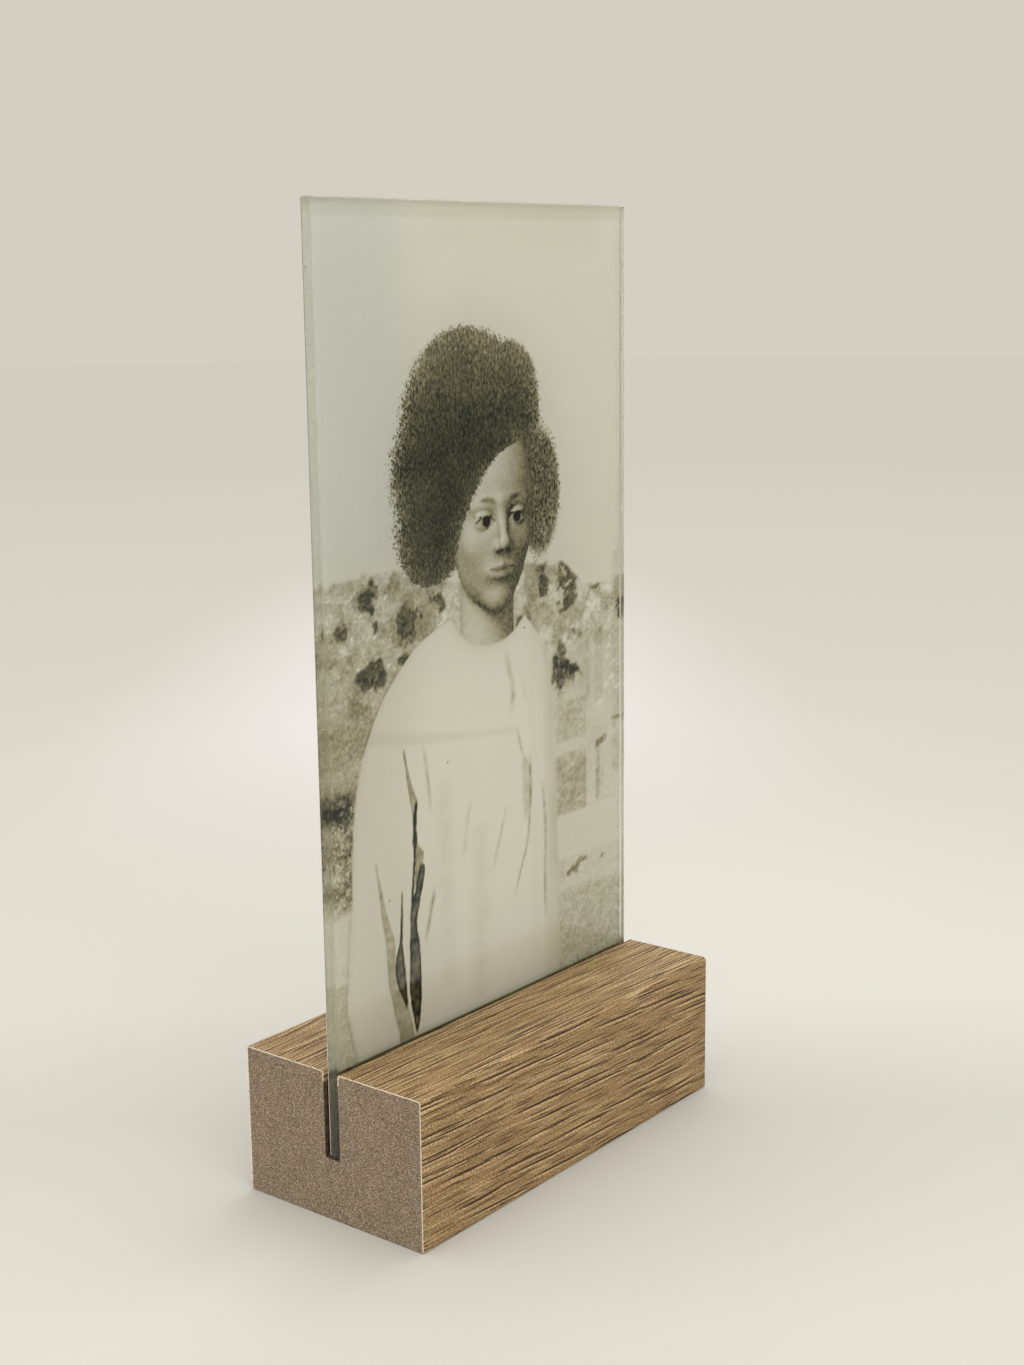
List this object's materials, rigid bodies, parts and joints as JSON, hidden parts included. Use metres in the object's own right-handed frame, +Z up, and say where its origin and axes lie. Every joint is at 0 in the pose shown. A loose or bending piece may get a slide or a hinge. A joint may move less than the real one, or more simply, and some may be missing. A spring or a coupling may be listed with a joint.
{
  "type": "glass photo display",
  "caption": "Clear glass pane with a portrait photo print bonded to its back, standing upright in the slot of an oak-look wrapped MDF block.",
  "frame": {"origin": "on the table, under the middle of the block", "axes": "+Z up, +X along the slot to the right as seen from the front, +Y from the picture side to the back"},
  "size_m": [0.1, 0.047, 0.1996],
  "materials": {
    "raw_mdf": "raw sawn MDF, fine fibres and pores, matt",
    "wood_decor_foil": "oak-look decor foil, lengthwise grain with dark pores, low sheen",
    "clear_glass": "polished float glass with ground arrises",
    "photo_film": "monochrome portrait photograph printed on film",
    "white_film": "opaque white film, matt"
  },
  "bodies": {
    "base": {"mdf_core": "raw_mdf", "front_wrap": "wood_decor_foil", "back_wrap": "wood_decor_foil"},
    "pane": {"glass_pane": "clear_glass", "photo_print": "photo_film", "white_backing": "white_film"}
  },
  "joints": [
    {"name": "glass_lift", "type": "slide", "parent": "base", "child": "pane", "axis": [0, 0, 1], "range_m": [0, 0.025]}
  ]
}
